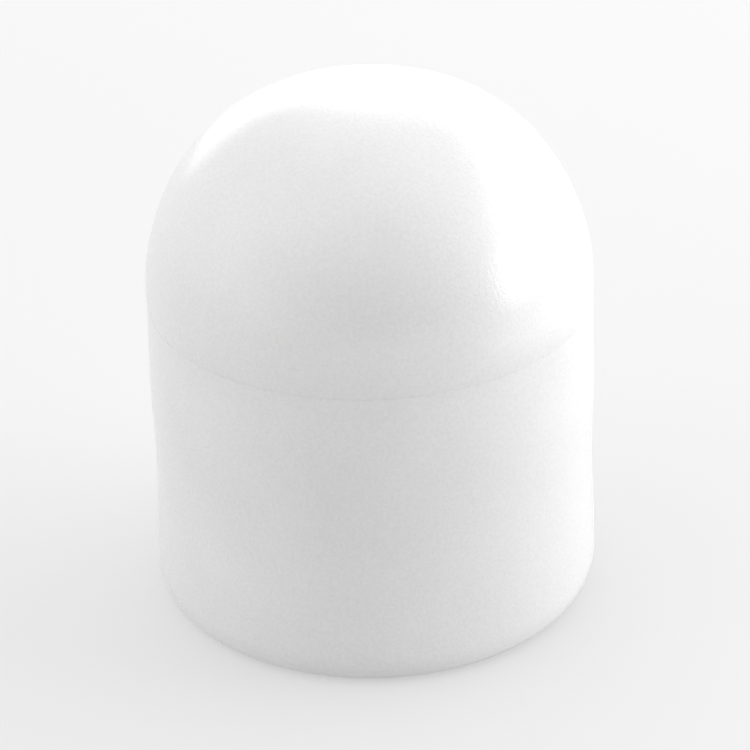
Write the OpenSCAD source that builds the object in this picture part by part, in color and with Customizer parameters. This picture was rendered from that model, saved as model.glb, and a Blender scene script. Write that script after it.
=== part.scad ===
// Domed safety cap for the top of a steel T-section fence post.
//
// Four white mouldings stack on one axis. The sleeve stands on its rim at z = 0. The T-shaped post
// socket drops into it from above and hangs on an inner ledge by six lugs, the stop disc lies on the
// socket, and the spigot of the dome snaps into the sleeve and traps both. The post comes in from
// below: its flange lies across X, its studs point to -Y and its stem points to +Y.

/* [Cap] */
// Outside diameter of the dome where it meets the sleeve
cap_d = 63.5; // [62:0.5:76]
// Height of the whole cap
cap_h = 76.2; // [72:0.2:90]
// Height of the seam between sleeve and dome above the rim
seam_z = 46.2; // [44:0.2:54]
// Wall thickness of the dome
dome_wall = 3; // [2.4:0.2:4]
// Fullness of the dome's side: 2 is an ellipse, more is squarer
side_power = 2.8; // [2:0.02:3]
// Fullness of the dome's crown: 2 is an ellipse, less is rounder
crown_power = 1.8; // [1.7:0.01:2.2]

/* [Sleeve] */
// How far the sleeve's top edge stands back inside the dome's edge
seam_step = 0.06; // [0.05:0.01:0.3]
// How far the sleeve swells between its top edge and its waist
bulge = 0.22; // [0:0.02:0.4]
// How far the rim stands out from the sleeve's top edge
flare = 0.46; // [0:0.02:0.8]
// Depth of the waist, as a share of the sleeve's height
waist = 0.6; // [0.4:0.05:0.7]
// Radius of the sleeve's bore below the ledge
bore_r = 28.2; // [28:0.1:28.6]
// Width of the rim's rounded outer edge
rim_round = 2.6; // [1:0.1:2.8]
// Height of the rim's rounded outer edge
rim_round_h = 4.6; // [1:0.1:6]

/* [Post] */
// Width of the post's flange
flange_w = 34.9; // [33:0.1:35.5]
// Thickness of the post's flange and stem
steel_t = 3.7; // [3.2:0.1:4]
// Depth of the post from the flange's front to the stem's edge
post_depth = 34.9; // [33:0.1:35.5]
// Width of the studs on the flange's front
stud_w = 10; // [8:0.5:12]
// Height of the studs
stud_h = 4; // [3:0.5:4.5]

/* [Socket] */
// Room round the post's flange edges, stem edge and studs
slot_room = 0.8; // [0.6:0.1:1]
// Room across the steel's thickness, shared by both sides
thickness_room = 1.9; // [1.6:0.1:2.2]
// Wall thickness of the socket
socket_wall = 2.4; // [2:0.1:2.4]
// Thickness of the spokes
spoke_t = 2; // [1.6:0.1:2.4]
// How far the crush ribs bite into the post's flange edges and stem edge
crush_bite = 0.15; // [0:0.05:0.3]
// How far the guide ribs stand in from the slot's long walls
guide_h = 0.7; // [0.4:0.05:0.7]

/* [Hidden] */
$fn = 96;
eps = 0.01;
arc_steps = 8;
dome_steps = 40;

plastic = [0.93, 0.93, 0.92];

// Dome
dome_r = cap_d / 2;
dome_band = 1.9;       // upright band between the seam and the start of the curve
edge_round = 0.3;      // rounding of the dome's lower edge
dome_base_z = seam_z + dome_band;
dome_rise = cap_h - dome_base_z;

// Snap joint between dome and sleeve
joint_gap = 0.1;       // radial clearance of the spigot
spigot_t = 2.7;
spigot_point = 0.5;    // chamfer at the spigot's lower end
bead_h = 0.4;          // how far the snap bead stands proud of the spigot
bead_r = 0.8;
bead_z = seam_z - 3.2;
bead_room = 0.15;      // clearance between the bead and its groove

// Heights of the stack inside the sleeve
socket_z = 4;
ledge_z = 34;
lug_t = 3;
disc_t = 3;
disc_z = ledge_z + lug_t;
socket_top = disc_z - 0.5;     // the disc lies on the lugs, clear of the channel
spoke_z = socket_z + 1;
spoke_top = disc_z - 1;
spigot_z = disc_z + disc_t;

// Sleeve
counterbore_r = bore_r + 1;
spigot_r = counterbore_r - joint_gap;
bead_x = spigot_r - bead_r + bead_h;
sleeve_top_r = dome_r - seam_step;
sleeve_rim_r = sleeve_top_r + flare;
side_steps = 20;
top_chamfer = 0.2;
rim_inner_round = 0.4;
rail_w = 1.2;          // rails that guide the spokes
rail_h = 1.2;
rail_z = 7;

// Post section, centred in its own smallest circle so that the socket sits in the middle
post_back = (flange_w * flange_w / 4 + post_depth * post_depth) / (2 * post_depth);
post_front = post_back - post_depth;
slot_t = steel_t + thickness_room;
flange_mid = post_front + steel_t / 2;
flange_x = flange_w / 2 + slot_room;   // half width of the slot's flange, stem and stud channel
stem_x = slot_t / 2;
stud_x = stud_w / 2 + 2 * slot_room;
stem_y = post_back + slot_room;
stud_y = post_front - stud_h - 2 * slot_room;
slot_corner = 0.6;
socket_corner = 2;
corner_steps = 4;
lead_in = 1.2;         // chamfer round the slot's mouth
rib_r = 1.1;
rib_point = 4;         // length of a rib's tapered lower end
rib_len = 24;

// Spokes and the lugs at their tops
spoke_angles = [30 : 60 : 330];
spoke_tip_r = bore_r - 0.2;
lug_w = 6;
lug_r = counterbore_r - 0.2;
key_gap = 0.2;         // clearance between a spoke and its rails

// Stop disc
boss_h = 1;            // T-shaped boss that the post's end bears on
boss_gap = 0.3;
disc_rib_h = 2;
disc_rib_r = 25.6;
hub_r = 10;            // ring that joins the disc's ribs
hub_h = 2.5;

// Points of an arc about [x, z], from angle a to angle b
function arc(x, z, r, a, b, steps = arc_steps) =
    [for (i = [0 : steps]) let (t = a + (b - a) * i / steps) [x + r * cos(t), z + r * sin(t)]];

// Points of the dome's curve from its base up to the axis
function dome_curve(r, z, rise) =
    [for (i = [0 : dome_steps]) let (t = 90 * i / dome_steps)
        [i == dome_steps ? 0 : r * pow(cos(t), 2 / side_power), z + rise * pow(sin(t), 2 / crown_power)]];

// Radius of the sleeve at a depth from 0 at its top edge to 1 where the rim's rounding starts
function sleeve_r(depth) = sleeve_top_r + (depth < waist ?
    bulge * pow(sin(180 * depth / waist), 2) :
    flare * pow(sin(90 * (depth - waist) / (1 - waist)), 2));

// Points of the sleeve's outer side, from the rim's rounding up to its top edge
sleeve_side = [for (i = [side_steps : -1 : 0])
    let (depth = i / side_steps) [sleeve_r(depth), rim_round_h + (1 - depth) * (seam_z - top_chamfer - rim_round_h)]];

// Points of the rim's rounded outer edge, a quarter of an ellipse
rim_edge = [for (i = [0 : arc_steps - 1])
    let (t = 90 * i / arc_steps) [sleeve_rim_r - rim_round * (1 - sin(t)), rim_round_h * (1 - cos(t))]];

function reversed(points) = [for (i = [len(points) - 1 : -1 : 0]) points[i]];

// Round of radius r in place of the square corner at p, between its neighbours a and b
function corner(a, p, b, r) =
    let (u = (a - p) / norm(a - p), v = (b - p) / norm(b - p))
        [for (i = [0 : corner_steps]) let (t = 90 * i / corner_steps) p + r * (1 - sin(t)) * u + r * (1 - cos(t)) * v];

// The T of the slot, grown by an amount all round, with round corners
module tee(grow, r) {
    half = [flange_x, stem_x, stud_x] + [grow, grow, grow];
    front = [flange_mid - slot_t / 2 - grow, stud_y - grow];
    back = [flange_mid + slot_t / 2 + grow, stem_y + grow];
    right = [
        [half[2], front[1]],
        [half[2], front[0]],
        [half[0], front[0]],
        [half[0], back[0]],
        [half[1], back[0]],
        [half[1], back[1]]
    ];
    outline = concat(right, [for (i = [len(right) - 1 : -1 : 0]) [-right[i].x, right[i].y]]);
    n = len(outline);
    polygon([for (i = [0 : n - 1]) each corner(outline[(i + n - 1) % n], outline[i], outline[(i + 1) % n], r)]);
}

// Prism along Y whose section in XZ widens downwards by the lead-in: from x0 to x1 at its top
module lead_in_wedge(x0, x1, length) {
    rotate([90, 0, 0])
        linear_extrude(2 * length, center = true)
            polygon([
                [x0 - lead_in - eps, socket_z - eps],
                [x1 + lead_in + eps, socket_z - eps],
                [x1, socket_z + lead_in],
                [x0, socket_z + lead_in]
            ]);
}

// Chamfer that guides the post into the slot's mouth
module slot_lead_in() {
    half_x = [flange_x, stem_x, stud_x];
    y0 = [flange_mid - slot_t / 2, flange_mid, stud_y];
    y1 = [flange_mid + slot_t / 2, stem_y, flange_mid];
    for (i = [0 : 2])
        intersection() {
            lead_in_wedge(-half_x[i], half_x[i], cap_d);
            rotate(90) lead_in_wedge(y0[i], y1[i], cap_d);
        }
}

// Upright round rib that stands h in from the slot wall at [x, y], on the side that the angle points to
module slot_rib(x, y, angle, h) {
    translate([x, y, socket_z + 2 * lead_in])
        rotate(angle)
            translate([h - rib_r, 0, 0]) {
                cylinder(h = rib_point + eps, r1 = rib_r - h, r2 = rib_r);
                translate([0, 0, rib_point]) cylinder(h = rib_len - rib_point, r = rib_r);
            }
}

// Crush ribs on the flange's two edges and the stem's edge, guide ribs on the long walls
module slot_ribs() {
    crush_h = slot_room + crush_bite;
    for (s = [-1, 1]) {
        slot_rib(s * flange_x, flange_mid, s > 0 ? 180 : 0, crush_h);
        slot_rib(s * flange_w / 3, flange_mid + slot_t / 2, -90, guide_h);
        slot_rib(s * flange_w / 3, flange_mid - slot_t / 2, 90, guide_h);
        for (y = [post_back - 2 * steel_t, post_back - post_depth / 2])
            slot_rib(s * stem_x, y, s > 0 ? 180 : 0, guide_h);
    }
    slot_rib(0, stem_y, -90, crush_h);
}

// One spoke, from the socket's wall out to the sleeve, with the lug that hangs on the ledge
module spoke(angle, inner_r) {
    rotate(angle) {
        intersection() {
            translate([inner_r, -spoke_t / 2, spoke_z])
                cube([spoke_tip_r, spoke_t, spoke_top - spoke_z]);
            cylinder(h = cap_h, r = spoke_tip_r);
        }
        intersection() {
            translate([spoke_tip_r - 4, -lug_w / 2, ledge_z])
                cube([5, lug_w, lug_t]);
            cylinder(h = cap_h, r = lug_r);
        }
    }
}

// Radius at which the spoke at an angle starts, in the middle of the socket's wall: the stem's end,
// the stud channel's floor, the stem's sides or the flange's ends
function spoke_start(angle) =
    angle == 90 ? stem_y + socket_wall / 2 :
    angle == 270 ? socket_wall / 2 - stud_y :
    ((angle < 180 ? stem_x : flange_x) + socket_wall / 2) / cos(30);

module dome() {
    bead_angle = acos(1 - bead_h / bead_r);
    inner_r = dome_r - dome_wall;
    color(plastic)
        rotate_extrude()
            polygon(concat(
                arc(dome_r - edge_round, seam_z + edge_round, edge_round, -90, 0),
                dome_curve(dome_r, dome_base_z, dome_rise),
                reversed(dome_curve(inner_r, dome_base_z, dome_rise - dome_wall)),
                [
                    [spigot_r - spigot_t, seam_z - 1],
                    [spigot_r - spigot_t, spigot_z],
                    [spigot_r - spigot_point, spigot_z],
                    [spigot_r, spigot_z + 2 * spigot_point]
                ],
                arc(bead_x, bead_z, bead_r, -bead_angle, bead_angle),
                [[spigot_r, seam_z]]
            ));
}

module sleeve() {
    groove_r = bead_r + bead_room;
    groove_angle = acos((counterbore_r - bead_x) / groove_r);
    color(plastic) {
        rotate_extrude()
            polygon(concat(
                rim_edge,
                sleeve_side,
                [
                    [sleeve_top_r - top_chamfer, seam_z],
                    [counterbore_r + spigot_point, seam_z],
                    [counterbore_r, seam_z - spigot_point]
                ],
                arc(bead_x, bead_z, groove_r, groove_angle, -groove_angle),
                [
                    [counterbore_r, ledge_z],
                    [bore_r, ledge_z]
                ],
                arc(bore_r + rim_inner_round, rim_inner_round, rim_inner_round, 180, 270)
            ));
        for (angle = spoke_angles, side = [-1, 1])
            rotate(angle)
                translate([bore_r - rail_h, side * (spoke_t / 2 + key_gap + rail_w / 2) - rail_w / 2, rail_z])
                    cube([rail_h + 1, rail_w, ledge_z - rail_z]);
    }
}

module post_socket() {
    color(plastic) {
        difference() {
            translate([0, 0, socket_z])
                linear_extrude(socket_top - socket_z) tee(socket_wall, socket_corner);
            translate([0, 0, socket_z - 1])
                linear_extrude(disc_z - socket_z + 2) tee(0, slot_corner);
            slot_lead_in();
        }
        slot_ribs();
        for (angle = spoke_angles)
            spoke(angle, spoke_start(angle));
    }
}

module stop_disc() {
    rib_foot = 1;      // how deep the ribs are rooted in the disc
    color(plastic) {
        translate([0, 0, disc_z]) cylinder(h = disc_t, r = lug_r);
        translate([0, 0, disc_z - boss_h])
            linear_extrude(boss_h + rib_foot) tee(-boss_gap, slot_corner);
        translate([0, 0, disc_z + disc_t - rib_foot]) {
            difference() {
                cylinder(h = rib_foot + hub_h, r = hub_r + spoke_t / 2);
                translate([0, 0, -eps]) cylinder(h = cap_h, r = hub_r - spoke_t / 2);
            }
            for (angle = spoke_angles)
                rotate(angle)
                    translate([hub_r, -spoke_t / 2, 0]) cube([disc_rib_r - hub_r, spoke_t, rib_foot + disc_rib_h]);
        }
    }
}

dome();
sleeve();
post_socket();
stop_disc();
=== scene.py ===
"""Looks of the domed fence post cap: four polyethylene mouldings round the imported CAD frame."""

import math

import bmesh
import bpy
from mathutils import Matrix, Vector


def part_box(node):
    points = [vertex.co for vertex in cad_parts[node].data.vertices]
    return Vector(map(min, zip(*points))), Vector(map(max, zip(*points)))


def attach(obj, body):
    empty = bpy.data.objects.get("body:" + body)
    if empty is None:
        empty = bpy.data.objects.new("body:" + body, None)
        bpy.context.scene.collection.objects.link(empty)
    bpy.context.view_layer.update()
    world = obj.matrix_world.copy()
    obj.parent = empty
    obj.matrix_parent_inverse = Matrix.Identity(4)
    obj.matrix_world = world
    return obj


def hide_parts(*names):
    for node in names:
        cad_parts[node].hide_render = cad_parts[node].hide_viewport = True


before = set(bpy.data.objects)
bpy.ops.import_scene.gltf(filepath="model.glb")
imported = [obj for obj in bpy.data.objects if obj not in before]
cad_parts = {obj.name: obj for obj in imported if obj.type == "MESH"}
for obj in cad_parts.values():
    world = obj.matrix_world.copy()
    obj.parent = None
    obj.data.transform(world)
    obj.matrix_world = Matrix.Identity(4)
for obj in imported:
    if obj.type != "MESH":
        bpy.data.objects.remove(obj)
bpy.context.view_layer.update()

MM = 0.001
SEGMENTS = 256          # round a full turn
SHARP_ANGLE = 32        # edges sharper than this, in degrees, aren't shaded smooth
ON_AXIS = 1e-7          # a point with a smaller radius lies on the axis

# The cap, from the frame
LOW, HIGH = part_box("sleeve")
DOME_LOW, DOME_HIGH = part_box("dome")
CAP_H = DOME_HIGH[2]
SEAM_Z = HIGH[2]
DOME_R = DOME_HIGH[0]
RIM_R = -LOW[0]

# Walls and joint, as in the CAD model
DOME_WALL = 3 * MM
BORE_R = 28.2 * MM
COUNTERBORE_R = 29.2 * MM
SPIGOT_R = 29.1 * MM
SPIGOT_INNER_R = 26.4 * MM
SPIGOT_Z = DOME_LOW[2]
SPIGOT_POINT = 0.5 * MM          # chamfer of the spigot's end and of the counterbore's mouth
LEDGE_Z = 34 * MM
BEAD_R = 0.8 * MM
BEAD_H = 0.4 * MM       # how far the snap bead stands proud of the spigot
BEAD_ROOM = 0.15 * MM
BEAD_X = SPIGOT_R - BEAD_R + BEAD_H
BEAD_Z = SEAM_Z - 3.2 * MM
SHOULDER = 1 * MM       # how far below the seam the spigot's inner face starts

# Outline of the dome
BAND = 1.9 * MM         # height of the band between the seam and the start of the curve
BAND_TUCK = 0.09 * MM   # how far the band draws in towards the seam
SIDE_POWER = 2.8
CROWN_POWER = 1.8
DOME_STEPS = 72

# Outline of the sleeve
SEAM_STEP = 0.07 * MM   # how far its top edge stands back inside the dome's widest line
BULGE = 0.22 * MM       # swelling between the top edge and the waist
WAIST = 0.6             # depth of the waist, as a share of the side's height
SIDE_STEPS = 60

# Edges, and how far each is rounded
DOME_EDGE = 0.01 * MM
SLEEVE_EDGE = 0.02 * MM
RIM_ROUND = 2.6 * MM
RIM_ROUND_H = 4.6 * MM
RIM_INNER_ROUND = 0.4 * MM
ARC_STEPS = 12
FINE_STEPS = 4          # for the dome's edge, which is hardly seen

# Rails in the sleeve's bore, a pair to each spoke of the socket, with angles in degrees
SPOKES = range(30, 360, 60)
RAIL_ANGLE = 3.73       # from the spoke's middle to the rail's
RAIL_H = 1.15 * MM
RAIL_Z = 7 * MM
RAIL_POINT = 2 * MM     # height of its tapered lower end
RAIL_MARGIN = 0.3       # kept free of other columns on each side of a rail, in degrees
# Across a rail: degrees from its middle, and share of its height
RAIL_PROFILE = ((-1.45, 0), (-1.3, 0.9), (-1.1, 1), (0, 1), (1.1, 1), (1.3, 0.9), (1.45, 0))

# The two plastics: base colour, roughness and subsurface weight
WHITE = ((0.72, 0.72, 0.72), 0.19, 0.1)
NATURAL = ((0.70, 0.70, 0.67), 0.4, 0.35)
PLASTIC_IOR = 1.54
SCATTER_SHARES = (1.0, 0.9, 0.8)         # how far red, green and blue light spreads in the plastic
SCATTER_REACH = 1 * MM

# Their noises: scale, which is about so many cells to a metre, detail and roughness
SLOW_NOISE = (90, 3, 0.5)
GRAIN_NOISE = (2100, 2, 0.7)
WAVE_NOISE = (110, 1, 0.5)
NOISE_REACH = (0.3, 0.7)                 # where nearly all values of a noise lie
DARK_TONE = 0.97        # share of the base colour left where the slow noise is lowest
DARK_SPECKLE = 0.93     # share of that left where the grain is lowest
ROUGH_SWING = 0.015     # how far the grain moves the roughness either way

# Their bumps: strength and depth
GRAIN_BUMP = (1.0, 0.04 * MM)
WAVE_BUMP = (0.3, 0.06 * MM)

# Bevels on the CAD nodes
NODE_BEVEL = 0.25 * MM
NODE_WELD = 0.002 * MM
BEVEL_FROM = 40         # the angle between faces that counts as an edge, in degrees

# Camera, as an angle and a distance from the cap
VIEW_ELEVATION = 29.57
VIEW_ROLL = 1.5
VIEW_DISTANCE = 16 * DOME_R
FOCAL_PER_WIDTH = 4.705          # focal length over the picture's width
SENSOR = 36             # the camera's own measure, in millimetres
CLIP_START = 0.01
AIM = Vector((0.43, 0, 32.1)) * MM

# A tall lit wall behind the cap on its right: where it stands, then the start, end, top and power
# of each length of it, in metres and watts; the lengths run from the right end to the left end
WALL_AZIMUTH = 140
WALL_DISTANCE = 0.6
PANELS = (
    (-1.6, -0.8, 0.45, 6.4),
    (-0.8, 0.0, 0.66, 3.2),
    (0.0, 0.5, 0.6, 1.3),
    (0.5, 1.3, 0.5, 2.6),
    (1.3, 2.8, 0.62, 3.3),
)

# A lit card on the table on the right: azimuth, near and far edge, width and power. It starts far
# enough out that the sleeve doesn't mirror it towards the camera.
CARD = (92, 0.125, 0.36, 0.26, 0.2)
CARD_Z = 2 * MM

# Soft light from all round, as broad lobes: azimuth, elevation, sharpness and strength; the ones
# below zero are the dark sides of the room, and the sum is above zero everywhere
SKY = (
    (0, 90, 0, 1.0),
    (20, 0, 3, -0.80),
    (0, 10, 2, -0.18),
    (150, 5, 3, -0.45),
    (90, 10, 8, 1.3),
    (85, 25, 16, 0.5),
    (-80, 10, 6, 0.12),
    (-72, 47, 5, 0.92),
)

# Floor
FLOOR_HALF = 3.0
FLOOR_TONE = 0.34
FLOOR_ROUGHNESS = 0.9
FLOOR_GLOW = 0.40       # the table is lit from below too, so that shadows on it stay faint


def arc(x, z, r, a, b, steps=ARC_STEPS):
    """Points of an arc about (x, z), from angle a to angle b in degrees."""
    angles = [math.radians(a + (b - a) * i / steps) for i in range(steps + 1)]
    return [(x + r * math.cos(t), z + r * math.sin(t)) for t in angles]


def dome_curve(r, z, rise):
    """Points of the dome's curve from its base up to the axis."""
    points = []
    for i in range(DOME_STEPS):
        t = math.pi / 2 * i / DOME_STEPS
        x = r * math.cos(t) ** (2 / SIDE_POWER)
        points.append((x, z + rise * math.sin(t) ** (2 / CROWN_POWER)))
    return points + [(0, z + rise)]


def dome_band():
    """Points of the dome's band, which draws in a little towards the seam."""
    low = SEAM_Z + DOME_EDGE
    high = SEAM_Z + BAND
    points = []
    for i in range(ARC_STEPS):
        share = i / ARC_STEPS
        points.append((DOME_R - BAND_TUCK * (1 - share) ** 2, low + (high - low) * share))
    return points


def sleeve_side():
    """The sleeve's outer side from the rim's rounding up to its top edge, with waist, bulge and flare."""
    top_r = DOME_R - SEAM_STEP
    low, high = RIM_ROUND_H, SEAM_Z - SLEEVE_EDGE
    points = []
    for i in range(SIDE_STEPS + 1):
        depth = 1 - i / SIDE_STEPS
        if depth < WAIST:
            swell = BULGE * math.sin(math.pi * depth / WAIST) ** 2
        else:
            swell = (RIM_R - top_r) * math.sin(math.pi / 2 * (depth - WAIST) / (1 - WAIST)) ** 2
        points.append((top_r + swell, low + (high - low) * (1 - depth)))
    return points


def rim_edge():
    """The rim's rounded outer edge, a quarter of an ellipse."""
    angles = [math.pi / 2 * i / ARC_STEPS for i in range(ARC_STEPS)]
    return [(RIM_R - RIM_ROUND * (1 - math.sin(t)), RIM_ROUND_H * (1 - math.cos(t))) for t in angles]


def even_columns():
    """Angles of a full turn in degrees, evenly spread, none of them inset."""
    return [(360 * k / SEGMENTS, 0) for k in range(SEGMENTS)]


def rail_columns():
    """Angles of a full turn with the rails' profiles let in, each with its share of the rail's height."""
    rails = [(spoke + side * RAIL_ANGLE) % 360 for spoke in SPOKES for side in (-1, 1)]
    reach = RAIL_PROFILE[-1][0] + RAIL_MARGIN
    columns = [(a, h) for a, h in even_columns() if min(abs(a - rail) for rail in rails) > reach]
    columns += [(rail + a, share) for rail in rails for a, share in RAIL_PROFILE]
    return sorted(columns)


def add_ring(bm, point, columns, inset):
    """One ring of vertices at a (radius, height) point. If the point has a third value, the columns'
    insets are cut from its radius. A point on the axis makes a single vertex."""
    r, z, *inset_here = point
    if r < ON_AXIS:
        return [bm.verts.new((0, 0, z))]
    ring = []
    for degrees, share in columns:
        a = math.radians(degrees)
        radius = r - inset * share if inset_here else r
        ring.append(bm.verts.new((radius * math.cos(a), radius * math.sin(a), z)))
    return ring


def join_rings(bm, low, high):
    """Faces between two rings, of which either may be a single vertex on the axis."""
    count = max(len(low), len(high))
    if count == 1:
        return
    for k in range(count):
        n = (k + 1) % count
        if len(low) == 1:
            bm.faces.new((low[0], high[n], high[k]))
        elif len(high) == 1:
            bm.faces.new((low[k], low[n], high[0]))
        else:
            bm.faces.new((low[k], low[n], high[n], high[k]))


def revolve(name, outline, columns, inset=0):
    """A closed solid turned from a closed outline, shaded smooth except at sharp edges."""
    bm = bmesh.new()
    rings = [add_ring(bm, point, columns, inset) for point in outline]
    for low, high in zip(rings, rings[1:] + rings[:1]):
        join_rings(bm, low, high)
    bmesh.ops.recalc_face_normals(bm, faces=bm.faces)
    mesh = bpy.data.meshes.new(name)
    bm.to_mesh(mesh)
    bm.free()
    for polygon in mesh.polygons:
        polygon.use_smooth = True
    mesh.set_sharp_from_angle(angle=math.radians(SHARP_ANGLE))
    piece = bpy.data.objects.new(name, mesh)
    bpy.context.scene.collection.objects.link(piece)
    return piece


def build_dome():
    """The dome: its outside from the seam up, its inside back down, and the spigot with its snap bead."""
    bead_angle = math.degrees(math.acos(1 - BEAD_H / BEAD_R))
    edge_x = DOME_R - BAND_TUCK - DOME_EDGE
    outline = arc(edge_x, SEAM_Z + DOME_EDGE, DOME_EDGE, -90, 0, FINE_STEPS)[:-1]
    outline += dome_band()
    base = SEAM_Z + BAND
    outline += dome_curve(DOME_R, base, CAP_H - base)
    outline += dome_curve(DOME_R - DOME_WALL, base, CAP_H - base - DOME_WALL)[::-1]
    outline += [
        (SPIGOT_INNER_R, SEAM_Z - SHOULDER),
        (SPIGOT_INNER_R, SPIGOT_Z),
        (SPIGOT_R - SPIGOT_POINT, SPIGOT_Z),
        (SPIGOT_R, SPIGOT_Z + 2 * SPIGOT_POINT),
    ]
    outline += arc(BEAD_X, BEAD_Z, BEAD_R, -bead_angle, bead_angle)
    outline += [(SPIGOT_R, SEAM_Z)]
    return revolve("dome_moulding", outline, even_columns())


def build_sleeve():
    """The sleeve: its rim and outside, then the grooved counterbore, the ledge and the railed bore."""
    groove_r = BEAD_R + BEAD_ROOM
    groove_angle = math.degrees(math.acos((COUNTERBORE_R - BEAD_X) / groove_r))
    outline = rim_edge() + sleeve_side()[:-1]
    outline += arc(DOME_R - SEAM_STEP - SLEEVE_EDGE, SEAM_Z - SLEEVE_EDGE, SLEEVE_EDGE, 0, 90)
    outline += [
        (COUNTERBORE_R + SPIGOT_POINT, SEAM_Z),
        (COUNTERBORE_R, SEAM_Z - SPIGOT_POINT),
    ]
    outline += arc(BEAD_X, BEAD_Z, groove_r, groove_angle, -groove_angle)
    outline += [
        (COUNTERBORE_R, LEDGE_Z),
        (BORE_R, LEDGE_Z, "railed"),
        (BORE_R, RAIL_Z + RAIL_POINT, "railed"),
        (BORE_R, RAIL_Z),
    ]
    outline += arc(BORE_R + RIM_INNER_ROUND, RIM_INNER_ROUND, RIM_INNER_ROUND, 180, 270)
    return revolve("sleeve_moulding", outline, rail_columns(), RAIL_H)


def noise(nodes, links, place, scale, detail, roughness):
    """Noise in the piece's own space."""
    node = nodes.new("ShaderNodeTexNoise")
    node.inputs["Scale"].default_value = scale
    node.inputs["Detail"].default_value = detail
    node.inputs["Roughness"].default_value = roughness
    links.new(place.outputs["Object"], node.inputs["Vector"])
    return node.outputs["Fac"]


def spread(nodes, links, factor, low, high):
    """Noise spread over a range of values."""
    node = nodes.new("ShaderNodeMapRange")
    node.inputs["From Min"].default_value, node.inputs["From Max"].default_value = NOISE_REACH
    node.inputs["To Min"].default_value = low
    node.inputs["To Max"].default_value = high
    links.new(factor, node.inputs["Value"])
    return node.outputs["Result"]


def tones(nodes, links, slow, grain, base):
    """The base colour, darkened a little by the slow noise and again by the grain."""
    ramp = nodes.new("ShaderNodeValToRGB")
    dark, light = ramp.color_ramp.elements
    dark.position, light.position = NOISE_REACH
    dark.color = (*[c * DARK_TONE for c in base], 1)
    light.color = (*base, 1)
    links.new(slow, ramp.inputs["Fac"])
    speckled = nodes.new("ShaderNodeVectorMath")
    speckled.operation = "SCALE"
    links.new(ramp.outputs["Color"], speckled.inputs[0])
    links.new(spread(nodes, links, grain, DARK_SPECKLE, 1.0), speckled.inputs["Scale"])
    return speckled.outputs["Vector"]


def bump(nodes, links, height, strength, distance, below=None):
    """A bump from a height, on top of another bump if one is given."""
    node = nodes.new("ShaderNodeBump")
    node.inputs["Strength"].default_value = strength
    node.inputs["Distance"].default_value = distance
    links.new(height, node.inputs["Height"])
    if below is not None:
        links.new(below, node.inputs["Normal"])
    return node.outputs["Normal"]


def polyethylene(name, base, roughness, subsurface):
    """Satin moulded polyethylene: waxy, finely grained, faintly uneven, with faint flow shading."""
    material = bpy.data.materials.new(name)
    material.use_nodes = True
    nodes, links = material.node_tree.nodes, material.node_tree.links
    shader = nodes["Principled BSDF"]
    shader.inputs["IOR"].default_value = PLASTIC_IOR
    shader.inputs["Subsurface Weight"].default_value = subsurface
    shader.inputs["Subsurface Radius"].default_value = SCATTER_SHARES
    shader.inputs["Subsurface Scale"].default_value = SCATTER_REACH

    place = nodes.new("ShaderNodeTexCoord")
    slow = noise(nodes, links, place, *SLOW_NOISE)
    grain = noise(nodes, links, place, *GRAIN_NOISE)
    waves = noise(nodes, links, place, *WAVE_NOISE)
    links.new(tones(nodes, links, slow, grain, base), shader.inputs["Base Color"])
    rough = spread(nodes, links, grain, roughness - ROUGH_SWING, roughness + ROUGH_SWING)
    links.new(rough, shader.inputs["Roughness"])
    uneven = bump(nodes, links, waves, *WAVE_BUMP)
    links.new(bump(nodes, links, grain, *GRAIN_BUMP, uneven), shader.inputs["Normal"])
    return material


def set_material(piece, material):
    """Makes this the piece's only material."""
    piece.data.materials.clear()
    piece.data.materials.append(material)


def bevel_edges(node):
    """Rounds the edges of a CAD node as it shows, without touching its mesh."""
    weld = node.modifiers.new("weld", "WELD")
    weld.merge_threshold = NODE_WELD
    bevel = node.modifiers.new("edges", "BEVEL")
    bevel.width = NODE_BEVEL
    bevel.segments = 3
    bevel.limit_method = "ANGLE"
    bevel.angle_limit = math.radians(BEVEL_FROM)
    bevel.harden_normals = True


def direction(azimuth, elevation):
    """A unit vector from the cap; azimuth 0 is on the camera's side, 90 on its right."""
    azimuth, elevation = math.radians(azimuth), math.radians(elevation)
    flat = math.cos(elevation)
    return Vector((math.sin(azimuth) * flat, -math.cos(azimuth) * flat, math.sin(elevation)))


def soft_light(name, width, height, power):
    """An area light that the camera doesn't see."""
    data = bpy.data.lights.new(name, "AREA")
    data.shape = "RECTANGLE"
    data.size = width
    data.size_y = height
    data.energy = power
    light = bpy.data.objects.new(name, data)
    light.visible_camera = False
    bpy.context.scene.collection.objects.link(light)
    return light


def build_panel(start, end, top, power):
    """One length of the tall lit wall behind the cap, from the floor up to top."""
    out = direction(WALL_AZIMUTH, 0)
    along = direction(WALL_AZIMUTH + 90, 0)
    panel = soft_light("soft_panel", end - start, top, power)
    panel.location = out * WALL_DISTANCE + along * (start + end) / 2 + Vector((0, 0, top / 2))
    panel.rotation_euler = (-out).to_track_quat("-Z", "Y").to_euler()


def build_card(azimuth, near, far, width, power):
    """A lit card that lies on the table beside the cap and shines upwards, out of the picture."""
    card = soft_light("soft_card", width, far - near, power)
    card.location = direction(azimuth, 0) * (near + far) / 2 + Vector((0, 0, CARD_Z))
    card.rotation_euler = (math.pi, 0, math.radians(azimuth))


def maths(nodes, links, operation, first, second):
    """A maths node on a linked value and a number or a second linked value."""
    node = nodes.new("ShaderNodeMath")
    node.operation = operation
    links.new(first, node.inputs[0])
    if isinstance(second, (int, float)):
        node.inputs[1].default_value = second
    else:
        links.new(second, node.inputs[1])
    return node.outputs[0]


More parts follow.
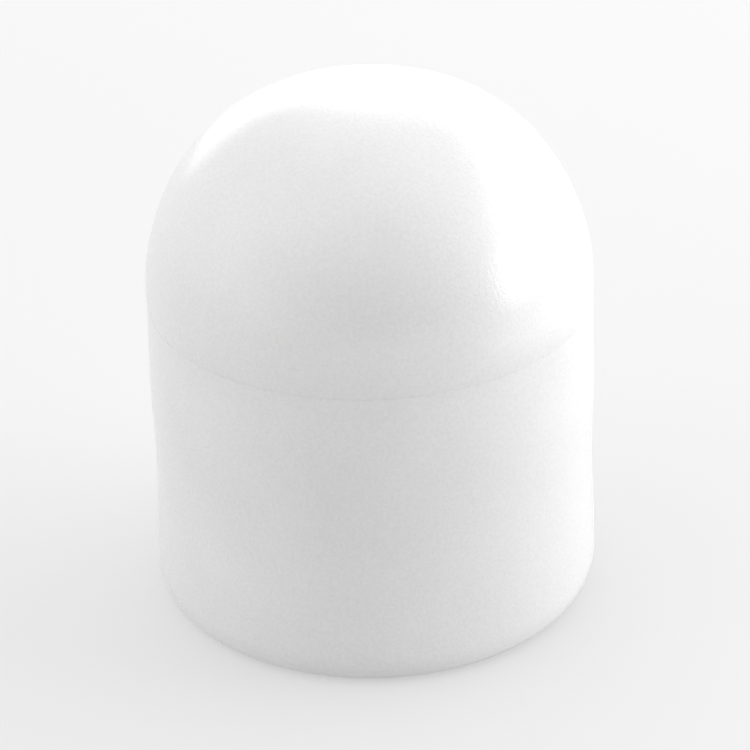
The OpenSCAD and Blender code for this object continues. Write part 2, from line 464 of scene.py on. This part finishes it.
def build_sky(lobes):
    """White light all round, brightest towards each lobe's direction."""
    world = bpy.data.worlds.new("studio")
    bpy.context.scene.world = world
    world.use_nodes = True
    nodes, links = world.node_tree.nodes, world.node_tree.links
    place = nodes.new("ShaderNodeTexCoord")
    total = None
    for azimuth, elevation, sharpness, strength in lobes:
        towards = nodes.new("ShaderNodeVectorMath")
        towards.operation = "DOT_PRODUCT"
        links.new(place.outputs["Generated"], towards.inputs[0])
        towards.inputs[1].default_value = direction(azimuth, elevation)
        facing = maths(nodes, links, "MAXIMUM", towards.outputs["Value"], 0)
        lobe = maths(nodes, links, "POWER", facing, sharpness)
        light = maths(nodes, links, "MULTIPLY", lobe, strength)
        total = light if total is None else maths(nodes, links, "ADD", light, total)
    links.new(total, nodes["Background"].inputs["Strength"])
    nodes["Background"].inputs["Color"].default_value = (1, 1, 1, 1)


def build_stage():
    """The plain pale table that the cap stands on."""
    mesh = bpy.data.meshes.new("floor")
    corners = [(x * FLOOR_HALF, y * FLOOR_HALF, 0) for x, y in ((-1, -1), (1, -1), (1, 1), (-1, 1))]
    mesh.from_pydata(corners, [], [(0, 1, 2, 3)])
    floor = bpy.data.objects.new("floor", mesh)
    bpy.context.scene.collection.objects.link(floor)
    material = bpy.data.materials.new("floor_paper")
    material.use_nodes = True
    shader = material.node_tree.nodes["Principled BSDF"]
    shader.inputs["Base Color"].default_value = (FLOOR_TONE, FLOOR_TONE, FLOOR_TONE, 1)
    shader.inputs["Roughness"].default_value = FLOOR_ROUGHNESS
    shader.inputs["Emission Color"].default_value = (1, 1, 1, 1)
    shader.inputs["Emission Strength"].default_value = FLOOR_GLOW
    set_material(floor, material)


def build_camera():
    """The camera at the photograph's angle."""
    data = bpy.data.cameras.new("camera")
    data.sensor_width = SENSOR
    data.lens = SENSOR * FOCAL_PER_WIDTH
    data.clip_start = CLIP_START
    camera = bpy.data.objects.new("camera", data)
    elevation = math.radians(VIEW_ELEVATION)
    back = Vector((0, -math.cos(elevation), math.sin(elevation)))
    camera.location = AIM + back * VIEW_DISTANCE
    turn = back.to_track_quat("Z", "Y").to_matrix().to_4x4()
    camera.rotation_euler = turn.to_euler()
    camera.rotation_euler.rotate_axis("Z", math.radians(-VIEW_ROLL))
    bpy.context.scene.collection.objects.link(camera)
    bpy.context.scene.camera = camera


def dress(piece, node, material):
    """Puts a finished piece in a CAD node's place."""
    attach(piece, "root")
    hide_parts(node)
    set_material(piece, material)


white = polyethylene("white_polyethylene", *WHITE)
natural = polyethylene("natural_polyethylene", *NATURAL)
dress(build_dome(), "dome", white)
dress(build_sleeve(), "sleeve", white)
for name in ("post_socket", "stop_disc"):
    set_material(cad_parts[name], natural)
    bevel_edges(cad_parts[name])
build_stage()
for values in PANELS:
    build_panel(*values)
build_card(*CARD)
build_sky(SKY)
build_camera()
bpy.context.scene.view_settings.view_transform = "Standard"
